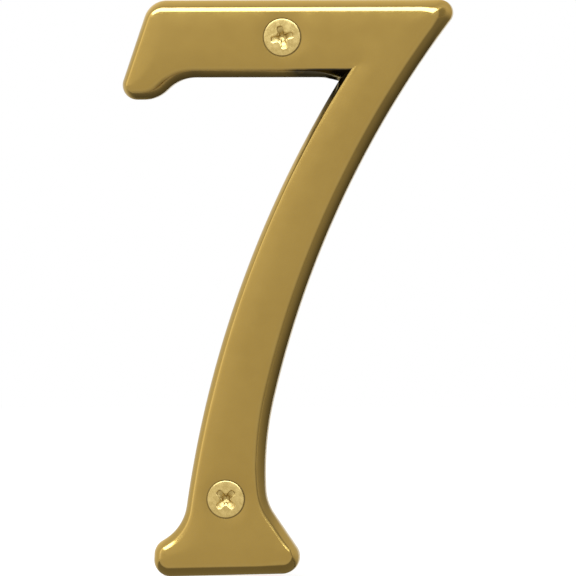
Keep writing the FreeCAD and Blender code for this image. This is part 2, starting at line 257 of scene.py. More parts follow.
class Side:
    """A side of the outline from one sharp corner to the next: straight, or an arc about a centre."""

    def __init__(self, start, end, centre=None, turn=0):
        self.start = start
        self.centre = centre
        self.turn = turn
        self.first = start
        self.last = end
        self.along = unit(end - start)
        self.radius = 0.0 if centre is None else np.linalg.norm(start - centre)

    def leftward(self, point):
        """Direction to the left of the side, beside a point."""
        if self.centre is None:
            return left_of(self.along)
        return self.turn * unit(self.centre - point)

    def left_distance(self, point):
        """How far a point lies to the left of the side."""
        if self.centre is None:
            return (point - self.start) @ left_of(self.along)
        return self.turn * (self.radius - np.linalg.norm(point - self.centre))

    def nearest(self, point):
        """Point of the side beside another point."""
        return point - self.leftward(point) * self.left_distance(point)

    def points(self, spacing):
        """Points along the side between its two roundings, without the ends."""
        if self.centre is None:
            count = max(2, math.ceil(np.linalg.norm(self.last - self.first) / spacing) + 1)
            points = np.linspace(self.first, self.last, count)
        else:
            points = arc_points(self.centre, self.first, self.last, self.turn, spacing / self.radius)
        return points[1:-1]


def rounding_centre(before, after, corner, distance):
    """The point at one distance to the left of two sides, found from their corner."""
    centre = corner + distance * unit(before.leftward(corner) + after.leftward(corner))
    for _ in range(SOLVER_STEPS):
        gaps = [distance - side.left_distance(centre) for side in (before, after)]
        slopes = [side.leftward(centre) for side in (before, after)]
        centre = centre + np.linalg.solve(np.array(slopes), np.array(gaps))
    return centre


# Outline of the numeral, in millimetres, seen from the front

SCREW_HIGH = np.array(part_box("fixing_screws")[1]) / MM
UPPER_SCREW = SCREW_HIGH[[0, 2]] - SCREW_HEAD_DIAMETER / 2
LOWER_SCREW = -UPPER_SCREW

# Sharp corners of the bar from the upper screw and of the foot from the lower one, with the radius of each
BAR_CORNERS = {
    "top_left": ((-23.85, 6.6), 4.15),
    "serif_tip": ((-29.75, -10.9), 2.6),
    "serif_toe": ((-22.75, -10.9), 5.8),
    "serif_root": ((-18.4, -7.0), 7.0),
    "crotch": ((10.05, -7.0), 0.0),
    "top_right": ((32.05, 6.6), 2.25),
}
FOOT_CORNERS = {
    "left_root": ((-7.85, -5.1), 8.2),
    "shoulder": ((-13.0, -8.25), 2.85),
    "heel": ((-13.3, -13.85), 2.95),
    "foot_tip": ((15.15, -13.05), 3.0),
    "calf_top": ((8.0, 17.75), 0.0),
}
STEM_LEFT_RADIUS = 195.0
STEM_RIGHT_RADIUS = 176.0
CALF_RADIUS = 57.7
RIGHT_ROOT_DROP = 0.8
RIGHT_ROOT_RADIUS = 8.3
OUTLINE_SPACING = 0.9
OUTLINE_MARGIN = 0.01
CORNER_STEP = math.radians(3.5)


class Outline:
    """Points around the numeral, counterclockwise, each with its outward direction."""

    def __init__(self):
        self.points = []
        self.outward = []
        self.names = []
        self.tips = []
        self.trace()
        self.points = np.array(self.points)
        self.outward = np.array(self.outward)
        self.crotch = self.names.index("crotch")

    def add(self, points, outward, name):
        """Next points of the outline."""
        self.points.extend(points)
        self.outward.extend(outward)
        self.names.extend([name] * len(points))

    def trace(self):
        """Follow the sides, and the roundings between them."""
        corners, sides = outline_sides()
        names = list(corners)
        roundings = {}
        for index, name in enumerate(names):
            spot, radius = corners[name]
            before, after = sides[index - 1], sides[index]
            if radius:
                turn = LEFT_TURN if left_of(before.leftward(spot)) @ after.leftward(spot) > 0 else RIGHT_TURN
                centre = rounding_centre(before, after, spot, turn * radius)
                before.last = before.nearest(centre)
                after.first = after.nearest(centre)
                roundings[name] = (centre, turn)
        for index, name in enumerate(names):
            spot, radius = corners[name]
            before, after = sides[index - 1], sides[index]
            if radius:
                centre, turn = roundings[name]
                points = arc_points(centre, before.last, after.first, turn, CORNER_STEP)
                if turn == LEFT_TURN:
                    self.tips.append((len(self.points), len(points), radius, before, after, centre))
                self.add(points, turn * (points - centre) / radius, name)
            else:
                one, other = -before.leftward(spot), -after.leftward(spot)
                self.add([spot], [(one + other) / (1 + one @ other)], name)
            points = after.points(OUTLINE_SPACING)
            self.add(points, [-after.leftward(point) for point in points], f"after_{name}")

    def inset(self, distance):
        """The outline moved inwards, where a tip that is narrower than that comes to a corner."""
        distance += OUTLINE_MARGIN
        moved = self.points - distance * self.outward
        for first, count, radius, before, after, centre in self.tips:
            if distance > radius:
                moved[first : first + count] = rounding_centre(before, after, centre, distance)
        return moved


def outline_sides():
    """Sharp corners with their radii, in order, and the side that follows each."""
    corners = {name: (UPPER_SCREW + spot, radius) for name, (spot, radius) in BAR_CORNERS.items()}
    corners |= {name: (LOWER_SCREW + spot, radius) for name, (spot, radius) in FOOT_CORNERS.items()}
    spots = {name: spot for name, (spot, radius) in corners.items()}
    stem_left = arc_centre(spots["crotch"], spots["left_root"], STEM_LEFT_RADIUS, LEFT_TURN)
    stem_right = arc_centre(spots["calf_top"], spots["top_right"], STEM_RIGHT_RADIUS, RIGHT_TURN)
    calf = spots["calf_top"] + CALF_RADIUS * unit(stem_right - spots["calf_top"])
    root_height = LOWER_SCREW[1] - RIGHT_ROOT_DROP
    root_across = calf[0] - math.sqrt(CALF_RADIUS**2 - (root_height - calf[1]) ** 2)
    corners["right_root"] = (vector(root_across, root_height), RIGHT_ROOT_RADIUS)
    order = ["top_left", "serif_tip", "serif_toe", "serif_root", "crotch", "left_root", "shoulder", "heel"]
    order += ["foot_tip", "right_root", "calf_top", "top_right"]
    curves = {
        "crotch": (stem_left, LEFT_TURN),
        "right_root": (calf, RIGHT_TURN),
        "calf_top": (stem_right, RIGHT_TURN),
    }
    corners = {name: corners[name] for name in order}
    sides = []
    for name, following in zip(order, order[1:] + order[:1]):
        sides.append(Side(corners[name][0], corners[following][0], *curves.get(name, ())))
    return corners, sides


# Skins, in millimetres

EDGE_POINTS = 6
INSIDE_ONLY = 1
FILL_TOLERANCE = 1e-7
MERGE_DISTANCE = 0.0005
SLIVER_LENGTH = 0.0002


class Skin:
    """A skin made of loops of points, with how worn each point is and how much painted shade darkens it."""

    def __init__(self):
        self.points = []
        self.wear = []
        self.dulling = []
        self.faces = []
        self.finishes = []
        self.creases = []

    def add(self, across, depths, heights, wear=0.0, dulling=0.0):
        """Points from their X, Y and Z. Gives their numbers."""
        first = len(self.points)
        points = np.column_stack(np.broadcast_arrays(across, depths, heights))
        self.points.extend(points)
        self.wear.extend(np.broadcast_to(wear, len(points)))
        self.dulling.extend(np.broadcast_to(dulling, len(points)))
        return list(range(first, len(self.points)))

    def face(self, corners, finish=0):
        """One face."""
        self.faces.append(tuple(corners))
        self.finishes.append(finish)

    def bridge(self, one, other, finish=0):
        """Faces between two closed loops with as many points."""
        for index in range(len(one)):
            self.face((one[index - 1], one[index], other[index], other[index - 1]), finish)

    def fan(self, loop, middle, finish=0):
        """Faces from a closed loop to one point."""
        for index in range(len(loop)):
            self.face((loop[index - 1], loop[index], middle), finish)

    def fill(self, loops, inner, finish=0):
        """Triangles inside the first closed loop, outside the others, and through the inner points."""
        numbers = [number for loop in loops for number in loop] + list(inner)
        flat = np.array([self.points[number] for number in numbers])[:, (0, 2)]
        edges = []
        first = 0
        for loop in loops:
            count = len(loop)
            edges += [(first + index, first + (index + 1) % count) for index in range(count)]
            first += count
        spots = [Vector(point) for point in flat]
        made = geometry.delaunay_2d_cdt(spots, edges, [], INSIDE_ONLY, FILL_TOLERANCE)
        _, _, triangles, sources, _, _ = made
        triangles = np.array([[sources[corner][0] for corner in triangle] for triangle in triangles])
        middles = flat[triangles].mean(axis=1)
        kept = np.ones(len(triangles), bool)
        for loop in loops[1:]:
            kept &= ~inside(middles, np.array([self.points[number] for number in loop])[:, (0, 2)])
        for triangle in triangles[kept]:
            self.face([numbers[corner] for corner in triangle], finish)

    def build(self, name, finishes):
        """Object with this skin and these materials."""
        mesh = bpy.data.meshes.new(name)
        mesh.from_pydata(np.array(self.points) * MM, [], self.faces)
        for finish in finishes:
            mesh.materials.append(finish)
        mesh.polygons.foreach_set("material_index", self.finishes)
        mesh.polygons.foreach_set("use_smooth", [True] * len(self.faces))
        for label, values in (("wear", self.wear), ("dulling", self.dulling)):
            mesh.attributes.new(label, "FLOAT", "POINT").data.foreach_set("value", values)
        wanted = {tuple(sorted(edge)) for edge in self.creases}
        for edge in mesh.edges:
            edge.use_edge_sharp = tuple(sorted(edge.vertices)) in wanted
        tidy = bmesh.new()
        tidy.from_mesh(mesh)
        bmesh.ops.remove_doubles(tidy, verts=tidy.verts, dist=MERGE_DISTANCE * MM)
        bmesh.ops.dissolve_degenerate(tidy, edges=tidy.edges, dist=SLIVER_LENGTH * MM)
        bmesh.ops.recalc_face_normals(tidy, faces=tidy.faces)
        tidy.to_mesh(mesh)
        tidy.free()
        piece = bpy.data.objects.new(name, mesh)
        bpy.context.scene.collection.objects.link(piece)
        return piece


# The casting, with lengths in millimetres

WEB_STEM_RUN = 5.0
WEB_CURVE = 1.5
WEB_FADE = 1.5
WALL_TOP = 2.3
WALL_LOOPS = 4
FOOT_RADIUS = 0.6
FOOT_STEPS = 3
BEVEL_STEPS = 10
RIM_STEPS = 14
FACE_SPACING = 0.6
FACE_MARGIN = 0.3
WAVE_LENGTH = 7.0
WAVE_LAYER = 3.7
TIP_REACH = 2.8

# The hole, with a flat narrow ring around the head of the screw
HOLE_SEGMENTS = 72
HOLE_LIP = 0.02
RING_BREAK = 0.002
RING_WALL = 0.005
RING_DEPTH = 0.05
RING_GAP = 0.03
RING_DROP = 0.18
CONE_START = 0.3
CONE_LOOPS = 5
BORE_HEIGHTS = (3.0, 2.0, 1.0, 0.15)
BORE_CHAMFER = ((0.03, 0.06), (0.15, 0.0))

# How much painted shade darkens the brass, and how far it reaches: 0 is bright, 1 is mottled and 1.8 is dark
# all over
LIP_SHADE = 0.05
HOLE_SHADE = 0.6
WALL_BACK_SHADE = 0.35
CROTCH_PAINTED_SHADE = 1.8
UNDER_BAR_SHADE = 0.4
UNDER_BAR_LOWEST = 20.0
UNDERSIDE = (0.1, -1.0)
BEVEL_SHADE_END = 1.6
BEVEL_SHADE_FADE = 0.4
MOUTH_SHADE = 0.1
MOUTH_SHADE_REACH = 0.5
CROTCH_SHADE_REACH = 8.5
STEM_SHADE_REACH = 4.0

# How far the rim of the face is moved to the right, or up, at some heights and places
LEFT_RIM_HEIGHTS = (-46.5, -42.5, -20.0, -10.0, 15.0, 32.0, 45.0)
LEFT_RIM_SHIFTS = (0.0, -0.3, -0.3, -0.43, -0.62, -0.62, -0.5)
RIGHT_RIM_HEIGHTS = (-47.0, -40.0, -35.0, -8.0)
RIGHT_RIM_SHIFTS = (0.85, 0.65, 0.08, -0.3)
BOTTOM_RIM_HEIGHTS = (-50.5, -48.5)
BOTTOM_RIM_PLACES = (0.5, 4.5)
BOTTOM_RIM_SHIFTS = (0.25, 0.6)
RIGHT_SIDE = ["foot_tip", "after_foot_tip", "right_root", "after_right_root"]
RIGHT_SIDE += ["calf_top", "after_calf_top", "top_right"]
LEVEL_SIDES = {"after_heel": ("heel", "foot_tip"), "after_top_right": ("top_left", "top_right")}


def bend(radius, steep, gentle, count):
    """Steps (inwards, upwards) along an arc of the section from one slope to another."""
    slopes = np.linspace(steep, gentle, count + 1)
    inwards = radius * -np.diff(np.sin(slopes))
    upwards = radius * np.diff(np.cos(slopes))
    return np.column_stack((inwards, upwards))


def roll_off_depth(sizes):
    """How far the face drops from its middle to its rim."""
    return sizes.roll_off_width / MM * math.tan(sizes.roll_off) / 2


def section(sizes):
    """Inset, height and wear of each loop of the casting, from the back around to the rim of the face."""
    rise = sizes.thickness / MM - roll_off_depth(sizes)
    steps = np.vstack((
        bend(FOOT_RADIUS, QUARTER, sizes.bevel_foot, FOOT_STEPS),
        bend(sizes.bevel_radius / MM, sizes.bevel_foot, sizes.bevel_head, BEVEL_STEPS),
        bend(sizes.rim_radius / MM, sizes.bevel_head, sizes.roll_off, RIM_STEPS),
    ))
    front = np.vstack(((0.0, rise - steps[:, 1].sum()), steps)).cumsum(axis=0)
    wear = np.zeros(len(front))
    wear[-RIM_STEPS - 1 :] = np.sin(np.linspace(0.0, math.pi, RIM_STEPS + 1)) ** 2
    radius = sizes.back_edge / MM
    turns = np.linspace(0.0, QUARTER, EDGE_POINTS)
    back = radius * np.column_stack((1 - np.sin(turns), 1 - np.cos(turns)))
    wall = np.column_stack((np.zeros(WALL_LOOPS), np.linspace(radius, front[0, 1], WALL_LOOPS + 2)[1:-1]))
    loops = np.vstack((back, wall, front))
    return np.column_stack((loops, np.concatenate((np.zeros(len(back) + len(wall)), wear))))


def crotch_fill(outline, sizes):
    """How far each point of the outline moves down the stem at the back, where metal fills the crotch."""
    names = np.array(outline.names)
    corner = outline.points[outline.crotch]
    gaps = np.linalg.norm(outline.points - corner, axis=1)
    along_bar = np.clip(1 - gaps / (sizes.web_run / MM), 0, 1) ** WEB_CURVE
    on_bar = np.where(names == "after_serif_root", along_bar, 0)
    on_stem = np.where(names == "after_crotch", np.clip(1 - gaps / WEB_STEM_RUN, 0, 1), 0)
    share = on_bar + on_stem
    share[outline.crotch] = 1.0
    down = unit(outline.points[outline.crotch + 1] - corner)
    return share[:, None] * down * (sizes.web_drop / MM / -down[1])


def face_height(points, rim, sizes):
    """Height of the polished face, rounded off at its rim, sunk around the screws and slightly wavy."""
    width = sizes.roll_off_width / MM
    inward = distance_to(points, rim)
    height = sizes.thickness / MM - roll_off_depth(sizes) * np.clip(1 - inward / width, 0, 1) ** 2
    dish = sizes.dish_width / MM
    for screw in (UPPER_SCREW, LOWER_SCREW):
        beyond = np.linalg.norm(points - screw, axis=1) - mouth_radius() - HOLE_LIP
        height -= sizes.dish_depth / MM * np.clip(1 - beyond / dish, 0, 1) ** 2
    waves = [noise.noise(Vector((x / WAVE_LENGTH, z / WAVE_LENGTH, WAVE_LAYER))) for x, z in points]
    return height - sizes.waviness / MM * np.abs(waves) * np.clip(inward / width, 0, 1)


def mouth_radius():
    """Radius of a countersink at the plane of the face."""
    screws = bpy.context.scene.door_number_screws
    half = screws.countersink / 2
    sunk = (screws.head_edge - screws.head_proud) * math.tan(half)
    return (screws.head_diameter / 2 + sunk + screws.seat_clearance / math.cos(half)) / MM


def hole(skin, screw, rim, sizes):
    """Skin of one countersunk hole. Gives its loops at the face and at the back."""
    screws = bpy.context.scene.door_number_screws
    mouth = mouth_radius()
    bore = screws.hole_diameter / 2 / MM
    thickness = sizes.thickness / MM
    slope = math.tan(screws.countersink / 2)
    lip = circle(screw, mouth + HOLE_LIP, HOLE_SEGMENTS)
    top = face_height(lip, rim, sizes)
    head = screws.head_diameter / 2 / MM
    rings = [
        (mouth + HOLE_LIP, top),
        (mouth, top - RING_BREAK),
        (mouth - RING_WALL, top - RING_DEPTH),
        (head + RING_GAP, top - RING_DEPTH - RING_WALL),
        (head + RING_GAP - RING_WALL, top - RING_DROP),
    ]
    for radius in np.linspace(mouth - CONE_START, bore, CONE_LOOPS):
        rings.append((radius, thickness - (mouth - radius) / slope))
    rings += [(bore, height) for height in BORE_HEIGHTS]
    rings += [(bore + wider, height) for wider, height in BORE_CHAMFER]
    loops = []
    for radius, height in rings:
        around = circle(screw, radius, HOLE_SEGMENTS)
        # Painted shade inside the hole, and a trace of it on the lip
        dulling = LIP_SHADE if radius > mouth else HOLE_SHADE
        loops.append(skin.add(around[:, 0], -np.asarray(height), around[:, 1], 0.0, dulling))
    for one, other in zip(loops, loops[1:]):
        skin.bridge(one, other)
    for loop in loops[1:5]:
        skin.creases += zip(loop, np.roll(loop, -1))
    return loops[0], loops[-1]


def face_points(rim):
    """Points spread over the face, clear of its rim and of the holes."""
    low, high = rim.min(axis=0), rim.max(axis=0)
    rows = np.arange(low[1], high[1], FACE_SPACING * math.sqrt(3) / 2)
    spread = []
    for number, row in enumerate(rows):
        across = np.arange(low[0] + FACE_SPACING / 2 * (number % 2), high[0], FACE_SPACING)
        spread.append(np.column_stack((across, np.full(len(across), row))))
    spread = np.vstack(spread)
    spread = spread[inside(spread, rim)]
    kept = distance_to(spread, rim) > FACE_MARGIN
    for screw in (UPPER_SCREW, LOWER_SCREW):
        kept &= np.linalg.norm(spread - screw, axis=1) > mouth_radius() + HOLE_LIP + FACE_MARGIN
    return spread[kept]


def rim_shift(outline, rim):
    """How far each point of the rim is moved: mostly to the left, but right and up around the foot."""
    names = np.array(outline.names)
    on_right = np.isin(names, RIGHT_SIDE).astype(float)
    for name, ends in LEVEL_SIDES.items():
        begin, end = [rim[outline.names.index(corner), 0] for corner in ends]
        along = names == name
        on_right[along] = np.clip((rim[along, 0] - begin) / (end - begin), 0, 1)
    left = np.interp(rim[:, 1], LEFT_RIM_HEIGHTS, LEFT_RIM_SHIFTS)
    right = np.interp(rim[:, 1], RIGHT_RIM_HEIGHTS, RIGHT_RIM_SHIFTS)
    across = left + on_right * (right - left)
    upward = np.interp(rim[:, 0], BOTTOM_RIM_PLACES, BOTTOM_RIM_SHIFTS)
    return np.column_stack((across, upward * np.interp(rim[:, 1], BOTTOM_RIM_HEIGHTS, (1.0, 0.0))))


def tip_span(outline, rim):
    """Which points of the outline lie close to the upper right corner of the rim."""
    spot = rim[outline.names.index("top_right")]
    near = np.flatnonzero(np.linalg.norm(rim - spot, axis=1) < TIP_REACH)
    return slice(near[0], near[-1] + 1)


def round_tip(outline, loop, span, share):
    """The loop with its upper right corner rounded by a share of the full rounding."""
    run = np.linalg.norm(np.diff(outline.points[span], axis=0), axis=1)
    place = (np.concatenate(((0.0,), run.cumsum())) / run.sum())[:, None]
    middle = loop[np.array(outline.names) == "top_right"].mean(axis=0)
    curve = (1 - place) ** 2 * loop[span][0] + 2 * place * (1 - place) * middle + place**2 * loop[span][-1]
    rounded = loop.copy()
    rounded[span] += share * (curve - loop[span])
    return rounded


def painted_bevel_shade(outline):
    """Painted shade on the bevel at each point of the outline: in the crotch and under the bar."""
    gaps = np.linalg.norm(outline.points - outline.points[outline.crotch], axis=1)
    reaches = np.where(np.array(outline.names) == "after_crotch", STEM_SHADE_REACH, CROTCH_SHADE_REACH)
    in_crotch = CROTCH_PAINTED_SHADE * np.exp(-((gaps / reaches) ** 4))
    run = np.roll(outline.points, -1, axis=0) - np.roll(outline.points, 1, axis=0)
    run /= np.linalg.norm(run, axis=1)[:, None]
    facing_down = np.clip(UNDERSIDE[0] * run[:, 1] - UNDERSIDE[1] * run[:, 0], 0, 1) ** 2
    under_bar = UNDER_BAR_SHADE * facing_down * (outline.points[:, 1] > UNDER_BAR_LOWEST)
    return np.maximum(in_crotch, under_bar)


def numeral_skin(sizes):
    """Skin of the whole casting."""
    outline = Outline()
    skin = Skin()
    filling = crotch_fill(outline, sizes)
    # Painted shade on the bevel, in the crotch and under the bar
    bevel_shade = painted_bevel_shade(outline)
    web = np.sqrt(np.linalg.norm(filling, axis=1) / np.linalg.norm(filling, axis=1).max())
    profile = section(sizes)
    even_rim = outline.inset(profile[-1, 0])
    shift = rim_shift(outline, even_rim)
    span = tip_span(outline, even_rim)
    loops = []
    for inset, height, wear in profile:
        fade = max(0.0, 1 - WEB_FADE * height / WALL_TOP)
        share = inset / profile[-1, 0]
        around = round_tip(outline, outline.inset(inset) + fade * filling + share * shift, span, share)
        # Painted shade, darker towards the back of the wall and over the web in the crotch, and the bevel
        # shade on the outer part of the bevel
        low = max(0.0, 1 - height / WALL_TOP) * WALL_BACK_SHADE + CROTCH_PAINTED_SHADE * web * (height < WALL_TOP)
        outer = np.clip((BEVEL_SHADE_END - inset) / BEVEL_SHADE_FADE, 0, 1)
        dulling = np.clip(bevel_shade * outer + low, 0, CROTCH_PAINTED_SHADE)
        loops.append(skin.add(around[:, 0], -height, around[:, 1], wear, dulling))
    for one, other in zip(loops, loops[1:]):
        skin.bridge(one, other)
        skin.creases.append((one[outline.crotch], other[outline.crotch]))
    rim = round_tip(outline, even_rim + shift, span, 1.0)
    mouths = [hole(skin, screw, rim, sizes) for screw in (UPPER_SCREW, LOWER_SCREW)]
    spread = face_points(rim)
    gaps = [np.linalg.norm(spread - screw, axis=1) for screw in (UPPER_SCREW, LOWER_SCREW)]
    # Painted shade on the face close around each screw
    dulling = MOUTH_SHADE * np.exp((mouth_radius() - np.minimum(*gaps)) / MOUTH_SHADE_REACH)
    inner = skin.add(spread[:, 0], -face_height(spread, rim, sizes), spread[:, 1], 0.0, dulling)
    skin.fill([loops[-1]] + [front for front, back in mouths], inner)
    skin.fill([loops[0]] + [back for front, back in mouths], [], finish=1)
    return skin


class DOOR_NUMBER_OT_numeral(Operator):
    """Make the bevelled brass numeral"""

    bl_idname = "door_number.make_numeral"
    bl_label = "Make Numeral"

    def execute(self, context):
        skin = numeral_skin(context.scene.door_number_numeral)
        finishes = context.scene.door_number_finishes
        numeral = skin.build("numeral_casting", [lacquered_brass(finishes), ground_brass(finishes)])
        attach(numeral, "root")
        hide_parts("numeral")
        return {"FINISHED"}


# The screws, with lengths in millimetres

SCREW_SEGMENTS = 120
ROWS_PER_TURN = 12
TIP_POINTS = 7
TIP_ROUNDEST = 0.95
CORE_POINTS = 9
CORE_LEAST = 1.03
MOUTH_CORNER = 0.42
FLOOR_START = 0.05
FLOOR_LOOPS = 9
FLOOR_CORNERS = (0.4, 0.28)
FLOOR_CURVE = 2.5
PIT_SHARES = (0.6, 0.25)
PIT_DEPTH = 0.12
PIT_POINT = 0.01
PIT_CORNER = 0.27
THREAD_START = 0.25
THREAD_FADE = 0.6
THREAD_VALLEY = 0.42
THREAD_FLANK = 0.5
NECK_FADE = 0.3
HEAD_CROWN = 0.05
HEAD_GRAIN = 0.006
GRAIN_LENGTH = 1 / 2.2
HEAD_RADII = np.arange(0.4, 3.0, 0.2)
HEAD_DENSITY = 26
HEAD_MARGIN = 0.08
EDGE_BREAK = 0.03
EDGE_DROP = 0.02
CONE_SHARES = (0.1, 0.4, 0.7, 0.97)
NECK_SHARES = (0.06, 0.4, 0.7, 1.0)

# Painted shade on parts of a screw, from 0 to 1, and how deep the recess is where it is darkest
RECESS_SHADE = 0.6
RECESS_SHADE_DEPTH = 0.5
POINT_SHADE = 0.3
HEAD_EDGE_SHADE = 0.12
SHANK_SHADE = 0.3
THREAD_ROOT_SHADE = 0.6


def cross(half_span, half_width, core, corner):
    """Points around a cross with rounded tips and a round middle, counterclockwise."""
    corner = min(corner, TIP_ROUNDEST * half_width)
    quarter = []
    for side, begin in ((-1, -QUARTER), (1, 0.0)):
        turns = np.linspace(begin, begin + QUARTER, TIP_POINTS)
        middle = vector(half_span - corner, side * (half_width - corner))
        quarter.append(middle + corner * np.column_stack((np.cos(turns), np.sin(turns))))
    core = max(core, CORE_LEAST * math.sqrt(2) * half_width)
    edge = math.asin(half_width / core)
    turns = np.linspace(edge, QUARTER - edge, CORE_POINTS)
    quarter.append(core * np.column_stack((np.cos(turns), np.sin(turns))))
    quarter = np.vstack(quarter)
    arms = [quarter]
    for _ in range(3):
        arms.append(np.column_stack((-arms[-1][:, 1], arms[-1][:, 0])))
    return np.vstack(arms)


def recess_loops(sizes):
    """Depth and outline of each loop of the cross recess, from its mouth to its floor."""
    lip = sizes.recess_lip / MM
    mouth = vector(sizes.recess_span / 2, sizes.recess_width / 2, sizes.recess_core / 2) / MM
    floor_width = sizes.recess_floor_width / 2
    floor = vector(sizes.recess_floor_span / 2, floor_width, floor_width) / MM
    depth = sizes.recess_depth / MM
    loops = []
    for turn in np.linspace(0.0, QUARTER, EDGE_POINTS):
        grown = mouth + lip * (1 - math.sin(turn))
        loops.append((lip * (1 - math.cos(turn)), cross(*grown, MOUTH_CORNER)))
    step = sizes.recess_step / MM
    for share in np.linspace(0.0, 1.0, FLOOR_LOOPS):
        shape = mouth + (FLOOR_START + (1 - FLOOR_START) * share) * (floor - mouth)
        corner = np.interp(share, (0.0, 1.0), FLOOR_CORNERS)
        loops.append((step + share**FLOOR_CURVE * (depth - step), cross(*shape, corner)))
    for share in PIT_SHARES:
        loops.append(((1 + PIT_DEPTH * (1 - share)) * depth, cross(*(share * floor), PIT_CORNER * share)))
    return loops


def thread_profile(phase):
    """Height of the thread across one turn, from 0 at the root to 1 at the crest."""
    ridge = 1 - abs(2 * phase - 1)
    climb = np.clip((ridge - THREAD_VALLEY) / THREAD_FLANK, 0, 1)
    return climb * climb * (3 - 2 * climb)


def add_thread(skin, neck, sizes, place):
    """Thread and point of a screw, joined to the last loop of its neck."""
    pitch = sizes.pitch / MM
    begin = (sizes.head_proud + bpy.context.scene.door_number_numeral.thickness) / MM + THREAD_START
    finish = sizes.screw_length / MM
    taper = sizes.point_length / MM
    crest, root = sizes.thread_diameter / 2 / MM, sizes.root_diameter / 2 / MM
    rows = ROWS_PER_TURN * (math.ceil((finish - begin) / pitch) + 1) + 1
    number, share = np.meshgrid(np.arange(rows), np.arange(SCREW_SEGMENTS) / SCREW_SEGMENTS, indexing="ij")
    depth = np.clip(begin + (number / ROWS_PER_TURN + share - 1) * pitch, begin, finish)
    narrowing = np.clip((finish - depth) / taper, 0, 1)
    fade = np.clip((depth - begin) / (THREAD_FADE * pitch), 0, 1)
    ridge = thread_profile((number / ROWS_PER_TURN) % 1.0) * fade
    neck_share = 1 - np.clip((depth - begin) / NECK_FADE, 0, 1)
    base = root + (sizes.neck_diameter / 2 / MM - root) * neck_share
    radius = (base + (crest - base) * ridge) * narrowing
    loops = []
    for row in range(rows):
        turns = 2 * math.pi * share[row]
        flat = place(radius[row] * np.cos(turns), radius[row] * np.sin(turns), depth[row])
        # Painted shade in the roots of the thread
        loops.append(skin.add(*flat, dulling=THREAD_ROOT_SHADE * (1 - ridge[row])))
    skin.bridge(neck, loops[0])
    for row in range(rows - 1):
        one, other = loops[row], loops[row + 1]
        for index in range(1, SCREW_SEGMENTS):
            skin.face((one[index - 1], one[index], other[index], other[index - 1]))
        if row + ROWS_PER_TURN + 1 < rows:
            onward, beyond = loops[row + ROWS_PER_TURN], loops[row + ROWS_PER_TURN + 1]
            skin.face((one[-1], onward[0], beyond[0], other[-1]))


def screw_skin(sizes, thickness, centre, turn):
    """Skin of one wood screw, with its axis along Y."""
    skin = Skin()
    top = (thickness + sizes.head_proud) / MM
    cosine, sine = math.cos(turn), math.sin(turn)

    def place(across, upward, depth):
        """X, Y and Z of points given about the screw's own axis."""
        return (
            centre[0] + cosine * across - sine * upward,
            depth - top,
            centre[1] + sine * across + cosine * upward,
        )

    head = sizes.head_diameter / 2 / MM
    loops = []
    for depth, around in recess_loops(sizes):
        # Painted shade, darker deeper in the recess
        dulling = RECESS_SHADE * min(1.0, depth / RECESS_SHADE_DEPTH)
        loops.append(skin.add(*place(around[:, 0], around[:, 1], depth), dulling=dulling))
    for one, other in zip(loops, loops[1:]):
        skin.bridge(one, other)
    deepest = (1 + PIT_DEPTH + PIT_POINT) * sizes.recess_depth / MM
    point = skin.add(*place(0.0, 0.0, deepest), dulling=POINT_SHADE)
    skin.fan(loops[-1], point[0])

    rounding = sizes.head_rounding / MM
    neck = sizes.neck_diameter / 2 / MM
    edge = sizes.head_edge / MM
    turns = np.linspace(0.0, QUARTER, EDGE_POINTS)
    rings = list(zip(head - rounding * (1 - np.sin(turns)), HEAD_CROWN + rounding * (1 - np.cos(turns))))
    cone = edge + (head - neck) / math.tan(sizes.countersink / 2)
    rings += [(head, edge - EDGE_BREAK), (head - EDGE_BREAK, edge + EDGE_DROP)]
    rings += [(head + share * (neck - head), edge + share * (cone - edge)) for share in CONE_SHARES]
    rings += [(neck, cone + share * (top - cone)) for share in NECK_SHARES]
    around = circle(vector(0, 0), 1.0, SCREW_SEGMENTS)
    outer = []
    for radius, depth in rings:
        # Painted shade, slight on the head's rounded rim and more on the cone and neck
        dulling = SHANK_SHADE if depth > edge else HEAD_EDGE_SHADE
        outer.append(skin.add(*place(radius * around[:, 0], radius * around[:, 1], depth), dulling=dulling))
    for one, other in zip(outer, outer[1:]):
        skin.bridge(one, other)

    mouth = recess_loops(sizes)[0][1]
    circles = [circle(vector(0, 0), radius, round(HEAD_DENSITY * radius)) for radius in HEAD_RADII]
    spread = np.vstack(circles)
    spread = spread[~inside(spread, mouth) & (distance_to(spread, mouth) > HEAD_MARGIN)]
    reach = np.linalg.norm(spread, axis=1)
    grain = [noise.noise(Vector((x / GRAIN_LENGTH, z / GRAIN_LENGTH, centre[1]))) for x, z in spread]
    sunk = HEAD_CROWN * (reach / head) ** 4 + HEAD_GRAIN * (1 + np.array(grain))
    inner = skin.add(*place(spread[:, 0], spread[:, 1], sunk))
    skin.fill([outer[0], loops[0]], inner)
    add_thread(skin, outer[-1], sizes, place)
    return skin


class DOOR_NUMBER_OT_screws(Operator):
    """Make the two cross-recess wood screws"""

    bl_idname = "door_number.make_screws"
    bl_label = "Make Screws"

    def execute(self, context):
        sizes = context.scene.door_number_screws
        thickness = context.scene.door_number_numeral.thickness
        finish = screw_brass(context.scene.door_number_finishes)
        upper = ("upper_screw", UPPER_SCREW, sizes.upper_turn)
        lower = ("lower_screw", LOWER_SCREW, sizes.lower_turn)
        for name, centre, turn in (upper, lower):
            screw = screw_skin(sizes, thickness, centre, turn).build(name, [finish])
            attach(screw, "root")
            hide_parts("fixing_screws")
        return {"FINISHED"}


# Materials


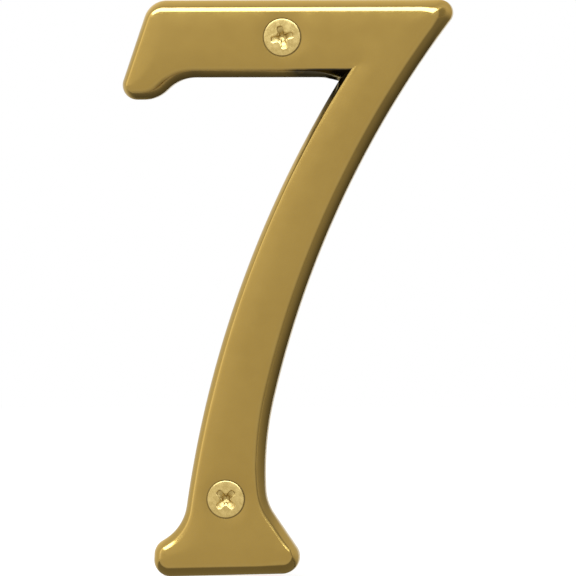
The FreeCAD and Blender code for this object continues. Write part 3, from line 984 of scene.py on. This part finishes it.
class Shader:
    """Node tree of a material, with short ways to add and join its nodes."""

    def __init__(self, name):
        self.material = bpy.data.materials.new(name)
        self.material.use_nodes = True
        self.tree = self.material.node_tree
        self.surface = self.tree.nodes["Principled BSDF"]
        self.place = self.tree.nodes.new("ShaderNodeTexCoord").outputs["Object"]

    def put(self, socket, value):
        """Set a socket, or join another one to it."""
        if isinstance(value, bpy.types.NodeSocket):
            self.tree.links.new(value, socket)
        else:
            socket.default_value = value

    def node(self, kind, output, inputs, **settings):
        """New node with its settings and inputs. Gives one of its outputs."""
        made = self.tree.nodes.new(f"ShaderNode{kind}")
        for setting, value in settings.items():
            setattr(made, setting, value)
        for name, value in inputs.items():
            self.put(made.inputs[name], value)
        return made.outputs[output]

    def noise(self, scale, detail, place=None):
        """Noise of this many grains to the metre."""
        inputs = {"Vector": place or self.place, "Scale": scale, "Detail": detail}
        return self.node("TexNoise", "Fac", inputs)

    def stretched(self, scale, turn):
        """Coordinates scaled differently along each axis."""
        inputs = {"Vector": self.place, "Rotation": (0.0, turn, 0.0), "Scale": scale}
        return self.node("Mapping", "Vector", inputs)

    def spread(self, value, low, high, begin=0.0, end=1.0):
        """Map a value from one range to another."""
        inputs = {"Value": value, "From Min": low, "From Max": high, "To Min": begin, "To Max": end}
        return self.node("MapRange", "Result", inputs)

    def times(self, one, other):
        """Product of two values."""
        made = self.tree.nodes.new("ShaderNodeMath")
        made.operation = "MULTIPLY"
        self.put(made.inputs[0], one)
        self.put(made.inputs[1], other)
        return made.outputs[0]

    def mix(self, factor, one, other):
        """Blend of two colours."""
        made = self.tree.nodes.new("ShaderNodeMix")
        made.data_type = "RGBA"
        for index, value in ((0, factor), (6, one), (7, other)):
            self.put(made.inputs[index], value)
        return made.outputs[2]

    def painted(self, label):
        """Value kept at the points of the mesh."""
        return self.node("Attribute", "Fac", {}, attribute_name=label)

    def bump(self, height, distance, strength, under=None):
        """Surface raised by a height. It may lie on another such surface."""
        inputs = {"Height": height, "Distance": distance, "Strength": strength}
        if under is not None:
            inputs["Normal"] = under
        return self.node("Bump", "Normal", inputs)

    def finish(self, **sockets):
        """Set the surface's sockets. Gives the material."""
        for name, value in sockets.items():
            self.put(self.surface.inputs[name.replace("_", " ")], value)
        return self.material


def solid(value):
    """Colour with full opacity."""
    return (*value, 1.0)


def lacquered_brass(finishes):
    """Satin brass under clear lacquer, mottled, rubbed bright at the rim, and darkened by painted shade in
    the corners.
    """
    shader = Shader("lacquered_brass")
    clouds = shader.noise(70.0, 3.0)
    mottle = shader.noise(420.0, 4.0)
    peel = shader.noise(2300.0, 2.0)
    polish = shader.noise(1.0, 3.0, shader.stretched((500.0, 500.0, 5200.0), math.radians(18)))
    patches = shader.spread(clouds, 0.35, 0.65)
    speckle = shader.spread(mottle, 0.3, 0.7)
    tone = shader.mix(patches, solid(finishes.brass_deep), solid(finishes.brass_light))
    tone = shader.mix(shader.times(speckle, 0.35), tone, solid(finishes.brass_light))
    rubbed = shader.times(shader.painted("wear"), shader.spread(mottle, 0.25, 0.75, 0.3, 1.0))
    tone = shader.mix(rubbed, tone, solid(finishes.brass_worn))
    # Painted shade: the mesh's shade values mix in the near-black brass, mottled
    shading = shader.times(shader.painted("dulling"), shader.spread(mottle, 0.2, 0.6, 0.55, 1.0))
    tone = shader.mix(shading, tone, solid(finishes.brass_painted_shade))
    surface = shader.bump(polish, 0.004 * MM, 0.25)
    surface = shader.bump(peel, 0.012 * MM, 0.3, surface)
    return shader.finish(
        Base_Color=tone,
        Metallic=1.0,
        Roughness=shader.spread(mottle, 0.25, 0.75, 0.18, 0.22),
        Normal=surface,
        Specular_Tint=(0.95, 0.8, 0.45, 1.0),
        Coat_Weight=0.35,
        Coat_Roughness=0.05,
        Coat_IOR=1.5,
    )


def ground_brass(finishes):
    """The back, ground flat on a belt and left bare."""
    shader = Shader("ground_brass")
    turn = math.radians(4)
    streaks = shader.noise(1.0, 4.0, shader.stretched((40.0, 40.0, 3800.0), turn))
    scratches = shader.noise(1.0, 2.0, shader.stretched((90.0, 90.0, 9000.0), turn))
    clouds = shader.noise(55.0, 3.0)
    streaky = shader.spread(streaks, 0.3, 0.7)
    tone = shader.mix(streaky, solid(finishes.back_deep), solid(finishes.back_light))
    tone = shader.mix(shader.spread(clouds, 0.5, 0.8, 0.0, 0.6), tone, solid(finishes.back_deep))
    surface = shader.bump(streaks, 0.012 * MM, 0.5)
    surface = shader.bump(scratches, 0.008 * MM, 0.5, surface)
    return shader.finish(
        Base_Color=tone,
        Metallic=1.0,
        Roughness=shader.spread(clouds, 0.3, 0.7, 0.32, 0.44),
        Normal=surface,
    )


def screw_brass(finishes):
    """Bright brass of the screws, slightly grainy, and rough and darkened by painted shade in the recess."""
    shader = Shader("screw_brass")
    grain = shader.noise(3800.0, 3.0)
    blotch = shader.noise(900.0, 3.0)
    grainy = shader.spread(grain, 0.32, 0.68)
    tone = shader.mix(grainy, solid(finishes.screw_deep), solid(finishes.screw_light))
    tone = shader.mix(shader.spread(blotch, 0.45, 0.7, 0.0, 0.7), tone, solid(finishes.screw_light))
    # Painted shade darkens the brass and makes it rougher
    dulling = shader.painted("dulling")
    shading = shader.times(dulling, shader.spread(blotch, 0.2, 0.6, 0.6, 1.0))
    tone = shader.mix(shading, tone, solid(finishes.screw_painted_shade))
    smooth = shader.spread(blotch, 0.3, 0.7, 0.2, 0.32)
    surface = shader.bump(grain, 0.02 * MM, 0.35)
    return shader.finish(
        Base_Color=tone,
        Metallic=1.0,
        Roughness=shader.spread(dulling, 0.0, 0.6, smooth, 0.45),
        Normal=surface,
    )


# The stage, in metres

FLOOR_RADIUS = 1.3
FLOOR_SEGMENTS = 96
FLOOR_DROP = 0.05 * MM
CARD_DROP = 0.02 * MM
KEY_PLACE = (-0.35, -0.55, 0.9)
KEY_SIZE = (0.6, 0.6)
OVERHEAD_PLACE = (-0.04, -0.62, 0.45)
OVERHEAD_SIZE = (0.98, 1.0)
FAR_CLIP = 20.0
SENSOR_MILLIMETRES = 36.0


def show_only_in_reflections(thing):
    """Keep a lamp or card out of the picture and off matt surfaces, so that only the metal shows it."""
    thing.visible_camera = False
    thing.visible_diffuse = False
    thing.visible_transmission = False
    thing.visible_volume_scatter = False
    thing.visible_shadow = False


def lamp(name, place, aim, width, height, brightness):
    """Soft panel of light, as bright as its level where a white background is 1."""
    light = bpy.data.lights.new(name, "AREA")
    light.shape = "RECTANGLE"
    light.size = width
    light.size_y = height
    light.energy = brightness * math.pi * width * height
    panel = bpy.data.objects.new(name, light)
    panel.location = place
    panel.rotation_euler = (Vector(aim) - Vector(place)).to_track_quat("-Z", "Y").to_euler()
    panel.visible_camera = False
    bpy.context.scene.collection.objects.link(panel)
    return panel


def card(name, corners, faces, levels):
    """Card that glows as its level says at each corner, seen only in the metal."""
    mesh = bpy.data.meshes.new(name)
    mesh.from_pydata(corners, [], faces)
    mesh.attributes.new("level", "FLOAT", "POINT").data.foreach_set("value", levels)
    shader = Shader(name)
    glow = shader.node("Emission", "Emission", {"Strength": shader.painted("level")})
    shader.put(shader.tree.nodes["Material Output"].inputs["Surface"], glow)
    shader.material.cycles.emission_sampling = "NONE"
    mesh.materials.append(shader.material)
    thing = bpy.data.objects.new(name, mesh)
    bpy.context.scene.collection.objects.link(thing)
    show_only_in_reflections(thing)


def seen_directly(tree):
    """1 for what the camera, the metal or glass shows, and 0 for light on matt surfaces."""
    path = tree.nodes.new("ShaderNodeLightPath")
    seen = path.outputs["Is Camera Ray"]
    for other in ("Is Glossy Ray", "Is Transmission Ray"):
        made = tree.nodes.new("ShaderNodeMath")
        made.operation = "MAXIMUM"
        tree.links.new(seen, made.inputs[0])
        tree.links.new(path.outputs[other], made.inputs[1])
        seen = made.outputs[0]
    return seen


def make_floor(settings):
    """Round pale floor under the foot."""
    place = (0.0, 0.0, cad_box[0].z - FLOOR_DROP)
    bpy.ops.mesh.primitive_circle_add(
        vertices=FLOOR_SEGMENTS, radius=FLOOR_RADIUS, fill_type="NGON", location=place
    )
    floor = bpy.context.object
    floor.name = "floor"
    shader = Shader("pale_floor")
    matt = shader.node("BsdfDiffuse", "BSDF", {"Color": solid(settings.floor_colour)})
    strength = shader.times(seen_directly(shader.tree), settings.floor_glow)
    glow = shader.node("Emission", "Emission", {"Strength": strength})
    both = shader.tree.nodes.new("ShaderNodeAddShader")
    shader.put(both.inputs[0], matt)
    shader.put(both.inputs[1], glow)
    shader.put(shader.tree.nodes["Material Output"].inputs["Surface"], both.outputs[0])
    shader.material.cycles.emission_sampling = "NONE"
    floor.data.materials.append(shader.material)


def make_world(settings):
    """White background, and a softer light from all around on matt surfaces."""
    world = bpy.data.worlds.new("white_room")
    world.use_nodes = True
    world.cycles.sampling_method = "NONE"
    bpy.context.scene.world = world
    tree = world.node_tree
    strength = tree.nodes.new("ShaderNodeMapRange")
    strength.inputs["To Min"].default_value = settings.ambient
    tree.links.new(seen_directly(tree), strength.inputs["Value"])
    background = tree.nodes["Background"]
    background.inputs["Color"].default_value = (1.0, 1.0, 1.0, 1.0)
    tree.links.new(strength.outputs["Result"], background.inputs["Strength"])


# How bright the backing is at some distances in millimetres from the numeral: from the sides that face
# away from the light, through those that face across it, to those that face into it
BACKING_REACH = (0.0, 3.0, 8.0, 18.0, 50.0)
UNDER_LEVELS = (0.08, 0.2, 0.35, 0.45, 0.5)
SHADED_LEVELS = (0.05, 0.17, 0.38, 0.5, 0.5)
ACROSS_LEVELS = (0.8, 0.95, 1.1, 1.25, 1.3)
LIT_LEVELS = (1.2, 1.3, 1.15, 0.95, 0.9)
SHADED_TURNS = (-0.95, -0.75)
ACROSS_TURNS = (-0.55, 0.15)
LIT_TURNS = (0.6, 0.95)
SHADOW_SHIFT = vector(1.9, -6.0)
CROTCH_SHADE = 4.5
BACKING_GAP = 0.3
BACKING_REACHES = (200.0, 160.0)
BACKING_LOWEST = -52.0
BACKING_SPACING = 3.0
BACKING_MARGIN = 1.0


def make_backing():
    """Glowing card close behind the numeral, white with the numeral's soft shadow painted into its levels,
    as the bevels show it.
    """
    outline = Outline()
    skin = Skin()
    reach, fine_reach = BACKING_REACHES
    low = cad_box[0].z / MM
    corners = np.array(((-reach, low), (reach, low), (reach, reach), (-reach, reach)))
    edge = skin.add(corners[:, 0], BACKING_GAP, corners[:, 1])
    hole_points = outline.inset(-BACKING_GAP)
    rim = skin.add(hole_points[:, 0], BACKING_GAP, np.maximum(hole_points[:, 1], low + OUTLINE_MARGIN))
    across = np.arange(-fine_reach, fine_reach + 1, BACKING_SPACING)
    heights = np.arange(BACKING_LOWEST, fine_reach, BACKING_SPACING)
    spread = np.array([(x, z) for x in across for z in heights])
    clear = distance_to(spread, outline.points) > BACKING_MARGIN
    spread = spread[clear & ~inside(spread, outline.points)]
    inner = skin.add(spread[:, 0], BACKING_GAP, spread[:, 1])
    skin.fill([edge, rim], inner)
    points = np.array(skin.points)
    flat = points[:, (0, 2)]
    # Painted soft shadow: the levels fall where the outline, moved by the shadow shift, covers the card, and
    # on sides that face away from the light
    moved = flat - SHADOW_SHIFT
    away = distance_to(flat, outline.points)
    shadow = distance_to(moved, outline.points) * np.where(inside(moved, outline.points), -1.0, 1.0)
    turn = (shadow - away) / np.linalg.norm(SHADOW_SHIFT)
    levels = np.interp(away, BACKING_REACH, UNDER_LEVELS)
    steps = ((SHADED_LEVELS, SHADED_TURNS), (ACROSS_LEVELS, ACROSS_TURNS), (LIT_LEVELS, LIT_TURNS))
    for brighter, turns in steps:
        share = np.interp(turn, turns, (0.0, 1.0))
        levels += share * (np.interp(away, BACKING_REACH, brighter) - levels)
    # Painted shade in the crotch
    gaps = np.linalg.norm(flat - outline.points[outline.crotch], axis=1)
    levels *= 1 - np.exp(-((gaps / CROTCH_SHADE) ** 4))
    card("backing", points * MM, skin.faces, levels)


# Places of the cards, in metres, and how bright some of them are
LEFT_CARD_PLACE = -0.8
LEFT_CARD_TOP = 0.9
LEFT_CARD_DEPTHS = (-6.0, -3.5, -2.2, -0.8, -0.5, -0.1, 0.3)
LEFT_CARD_LEVELS = (1.0, 1.2, 1.25, 1.3, 1.4)
RIGHT_CARD_PLACE = 0.42
RIGHT_CARD_TOP = 0.4
RIGHT_CARD_DEPTHS = (-0.24, -0.14, 0.3)
RIGHT_GROUND_PLACES = (0.0251, 0.045, 0.09, RIGHT_CARD_PLACE)
RIGHT_GROUND_SHARES = (0.0, 0.6, 1.0, 1.0)
RIGHT_GROUND_DEPTHS = (-0.1, -0.04, BACKING_GAP * MM)
FRONT_GROUND_REACH = 0.7
FRONT_GROUND_DEPTHS = (-1.25, -0.005)
CONTACT_PLACES = (-0.03, 0.025)
CONTACT_DEPTHS = (-0.0062, -0.0054, BACKING_GAP * MM)


def grid(name, rows, levels):
    """Card made of rows with as many points, and a level for each point."""
    count = len(rows[0])
    faces = []
    for row in range(len(rows) - 1):
        for first in range(row * count, row * count + count - 1):
            faces.append((first, first + 1, first + count + 1, first + count))
    card(name, [point for row in rows for point in row], faces, levels)


def make_side_cards(settings):
    """Pale card at the left, a dark card at the right, and a card of painted shade on the floor there."""
    floor, dark = cad_box[0].z, settings.right_card
    rows = [[(LEFT_CARD_PLACE, y, z) for z in (floor, LEFT_CARD_TOP)] for y in LEFT_CARD_DEPTHS]
    grid("left_card", rows, np.repeat((*LEFT_CARD_LEVELS, settings.left_card, settings.left_card), 2))
    rows = [[(RIGHT_CARD_PLACE, y, z) for z in (floor, RIGHT_CARD_TOP)] for y in RIGHT_CARD_DEPTHS]
    grid("right_card", rows, np.repeat((1.0, dark, dark), 2))
    # Painted shade on the floor at the right, darker towards the back and to the right
    rows = [[(x, y, floor - CARD_DROP) for x in RIGHT_GROUND_PLACES] for y in RIGHT_GROUND_DEPTHS]
    shares = np.outer((0.0, 1.0, 1.0), RIGHT_GROUND_SHARES).ravel()
    grid("right_floor_shade", rows, settings.ground + shares * (dark - settings.ground))


def make_ground_cards(settings):
    """Floor in front as the metal shows it, with shade close to the foot."""
    high, front = cad_box[0].z - CARD_DROP, settings.ground
    sides = (-FRONT_GROUND_REACH, FRONT_GROUND_REACH)
    rows = [[(x, y, high - CARD_DROP) for x in sides] for y in FRONT_GROUND_DEPTHS]
    grid("front_ground", rows, np.repeat(front, 4))
    rows = [[(x, y, high) for x in CONTACT_PLACES] for y in CONTACT_DEPTHS]
    grid("contact_shade", rows, np.repeat((front, settings.contact, settings.contact), 2))


def make_camera(settings):
    """Long lens at the height of the numeral, a little to its right."""
    data = bpy.data.cameras.new("camera")
    data.sensor_width = SENSOR_MILLIMETRES
    data.lens = SENSOR_MILLIMETRES * settings.distance / settings.frame_width
    data.clip_end = FAR_CLIP
    camera = bpy.data.objects.new("camera", data)
    turn, rise = settings.azimuth, settings.elevation
    back = Vector((math.sin(turn) * math.cos(rise), -math.cos(turn) * math.cos(rise), math.sin(rise)))
    right = Vector((math.cos(turn), math.sin(turn), 0.0))
    upward = back.cross(right)
    aim = settings.aim_right * right - settings.aim_down * upward
    camera.location = aim + back * settings.distance
    camera.rotation_mode = "QUATERNION"
    camera.rotation_quaternion = (-back).to_track_quat("-Z", "Y")
    bpy.context.scene.collection.objects.link(camera)
    bpy.context.scene.camera = camera


class DOOR_NUMBER_OT_stage(Operator):
    """Make the floor, the light and the camera"""

    bl_idname = "door_number.make_stage"
    bl_label = "Make Stage"

    def execute(self, context):
        settings = context.scene.door_number_stage
        context.scene.view_settings.view_transform = "Standard"
        make_world(settings)
        make_floor(settings)
        key = lamp("key", KEY_PLACE, (0, 0, 0), *KEY_SIZE, settings.key)
        key.visible_glossy = False
        below = (*OVERHEAD_PLACE[:2], 0)
        overhead = lamp("overhead", OVERHEAD_PLACE, below, *OVERHEAD_SIZE, settings.overhead)
        overhead.data.color = settings.overhead_tint
        show_only_in_reflections(overhead)
        make_backing()
        make_side_cards(settings)
        make_ground_cards(settings)
        make_camera(settings)
        return {"FINISHED"}


# Panel and registration


class DOOR_NUMBER_PT_panel(Panel):
    """Sizes, colours and steps of the door number"""

    bl_idname = "DOOR_NUMBER_PT_panel"
    bl_label = "Door Number"
    bl_space_type = "VIEW_3D"
    bl_region_type = "UI"
    bl_category = "Door Number"

    def draw(self, context):
        for operator in OPERATORS:
            self.layout.operator(operator.bl_idname)
        for label, group in GROUPS.items():
            box = self.layout.box()
            box.label(text=group.__doc__)
            for name in group.__annotations__:
                box.prop(getattr(context.scene, label), name)


GROUPS = {
    "door_number_numeral": NumeralSizes,
    "door_number_screws": ScrewSizes,
    "door_number_finishes": Finishes,
    "door_number_stage": StageSettings,
}
OPERATORS = (DOOR_NUMBER_OT_numeral, DOOR_NUMBER_OT_screws, DOOR_NUMBER_OT_stage)


def register():
    """Register the classes and add their settings to the scene."""
    for made in (*GROUPS.values(), *OPERATORS, DOOR_NUMBER_PT_panel):
        bpy.utils.register_class(made)
    for label, group in GROUPS.items():
        setattr(bpy.types.Scene, label, PointerProperty(type=group))


def unregister():
    """Take away the settings and the classes."""
    for label in GROUPS:
        delattr(bpy.types.Scene, label)
    for made in reversed((*GROUPS.values(), *OPERATORS, DOOR_NUMBER_PT_panel)):
        bpy.utils.unregister_class(made)


def main():
    """Make everything."""
    register()
    bpy.ops.door_number.make_numeral()
    bpy.ops.door_number.make_screws()
    bpy.ops.door_number.make_stage()


if __name__ == "__main__":
    main()
